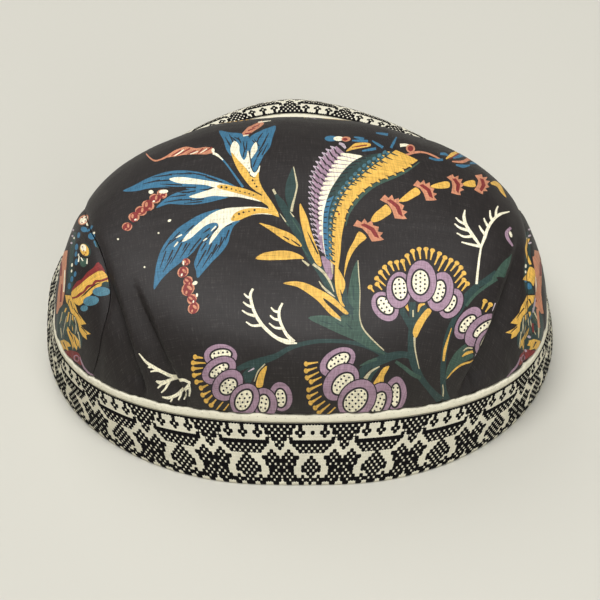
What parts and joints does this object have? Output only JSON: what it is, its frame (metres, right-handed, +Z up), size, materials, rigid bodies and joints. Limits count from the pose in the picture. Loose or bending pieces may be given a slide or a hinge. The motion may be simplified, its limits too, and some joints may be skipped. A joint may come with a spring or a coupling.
{
  "type": "cloth bonnet",
  "caption": "Soft close-fitting cloth bonnet, a printed cotton crown with side panels, joined by a narrow binding to a stiff woven patterned band round the opening",
  "frame": {"origin": "bottom centre of the bounding box, on the surface that the rim stands on", "axes": "+Z up through the crown, -Y toward the nape, +Y toward the front, +X to the right as seen from behind"},
  "size_m": [0.1788, 0.1928, 0.0638],
  "materials": {
    "printed_cotton": "plain-woven cotton, black ground printed with coloured flowering branches, matt",
    "woven_band": "thick cream weave with a raised black pattern, matt",
    "cream_binding": "narrow cream twill tape, matt"
  },
  "bodies": {
    "root": {"crown_panel": "printed_cotton", "left_side_panel": "printed_cotton", "right_side_panel": "printed_cotton", "edge_band": "woven_band", "seam_binding": "cream_binding"}
  },
  "joints": []
}
